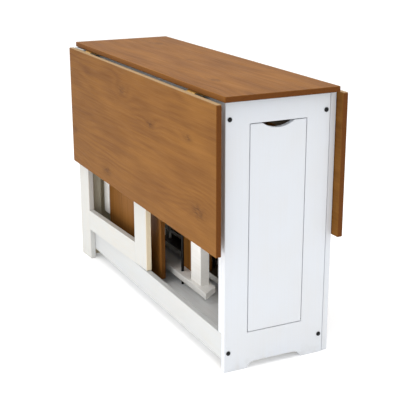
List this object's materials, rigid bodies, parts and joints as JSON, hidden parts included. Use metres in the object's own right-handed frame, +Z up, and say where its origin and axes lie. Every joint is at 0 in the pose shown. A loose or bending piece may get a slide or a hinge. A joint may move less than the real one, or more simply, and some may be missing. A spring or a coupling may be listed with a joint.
{
  "type": "gateleg table",
  "caption": "Folded gateleg table: narrow fixed top, two hanging drop leaves on hinges, a gate on each side, a drop-down flap in one end and folding chairs stored in its frame.",
  "frame": {"origin": "on the floor, under the middle of the fixed top", "axes": "+X along the top, towards the end with the flap; +Y across the top, towards the back leaf; +Z up"},
  "size_m": [1.112, 0.385, 0.76],
  "materials": {
    "white_paint": "satin paint on pine boards",
    "warm_white_paint": "satin paint on pine boards",
    "lacquered_pine": "brown-stained knotty pine, satin lacquer",
    "stained_pine": "brown stain, matt",
    "black_steel": "black",
    "brass": "plated",
    "steel": "plain"
  },
  "bodies": {
    "root": {"apron_back": "white_paint", "apron_front": "white_paint", "base_rail_back": "white_paint", "base_rail_front": "white_paint", "base_shelf": "white_paint", "chair_back_back_slat": "stained_pine", "chair_back_frame": "warm_white_paint", "chair_back_seat": "stained_pine", "chair_back_seat_frame": "warm_white_paint", "chair_back_stay": "black_steel", "chair_front_back_slat": "stained_pine", "chair_front_frame": "warm_white_paint", "chair_front_seat": "stained_pine", "chair_front_seat_frame": "warm_white_paint", "chair_front_stay": "black_steel", "corner_batten_far_back": "white_paint", "corner_batten_far_front": "white_paint", "corner_batten_near_back": "white_paint", "corner_batten_near_front": "white_paint", "end_panel_far": "white_paint", "end_panel_near": "white_paint", "flap_catch": "warm_white_paint", "flap_pivot_pin_back": "steel", "flap_pivot_pin_front": "steel", "frame_bolt_far_high_back": "black_steel", "frame_bolt_far_high_front": "black_steel", "frame_bolt_far_low_back": "black_steel", "frame_bolt_far_low_front": "black_steel", "frame_bolt_near_high_back": "black_steel", "frame_bolt_near_high_front": "black_steel", "frame_bolt_near_low_back": "black_steel", "frame_bolt_near_low_front": "black_steel", "gate_back_leg": "warm_white_paint", "gate_back_lower_rail": "warm_white_paint", "gate_back_post": "warm_white_paint", "gate_back_upper_rail": "warm_white_paint", "gate_front_leg": "warm_white_paint", "gate_front_lower_rail": "warm_white_paint", "gate_front_post": "warm_white_paint", "gate_front_upper_rail": "warm_white_paint", "hinge_pin_back_far": "steel", "hinge_pin_back_near": "steel", "hinge_pin_front_far": "steel", "hinge_pin_front_near": "steel", "hinge_plate_top_back_far": "brass", "hinge_plate_top_back_near": "brass", "hinge_plate_top_front_far": "brass", "hinge_plate_top_front_near": "brass", "shelf_cleat_back": "white_paint", "shelf_cleat_front": "white_paint", "table_top": "lacquered_pine", "top_cleat_far": "warm_white_paint", "top_cleat_near": "warm_white_paint"},
    "leaf_front": {"hinge_plate_leaf_front_far": "brass", "hinge_plate_leaf_front_near": "brass", "leaf_front": "lacquered_pine"},
    "leaf_back": {"hinge_plate_leaf_back_far": "brass", "hinge_plate_leaf_back_near": "brass", "leaf_back": "lacquered_pine"},
    "end_flap": {"end_flap": "white_paint"}
  },
  "joints": [
    {"name": "leaf_front_hinge", "type": "hinge", "parent": "root", "child": "leaf_front", "pos_m": [0, -0.1725, 0.74], "axis": [-1, 0, 0], "range_deg": [0, 90]},
    {"name": "leaf_back_hinge", "type": "hinge", "parent": "root", "child": "leaf_back", "pos_m": [0, 0.1725, 0.74], "axis": [1, 0, 0], "range_deg": [0, 90]},
    {"name": "end_flap_hinge", "type": "hinge", "parent": "root", "child": "end_flap", "pos_m": [0.5265, 0, 0.1125], "axis": [0, 1, 0], "range_deg": [0, 90]}
  ]
}
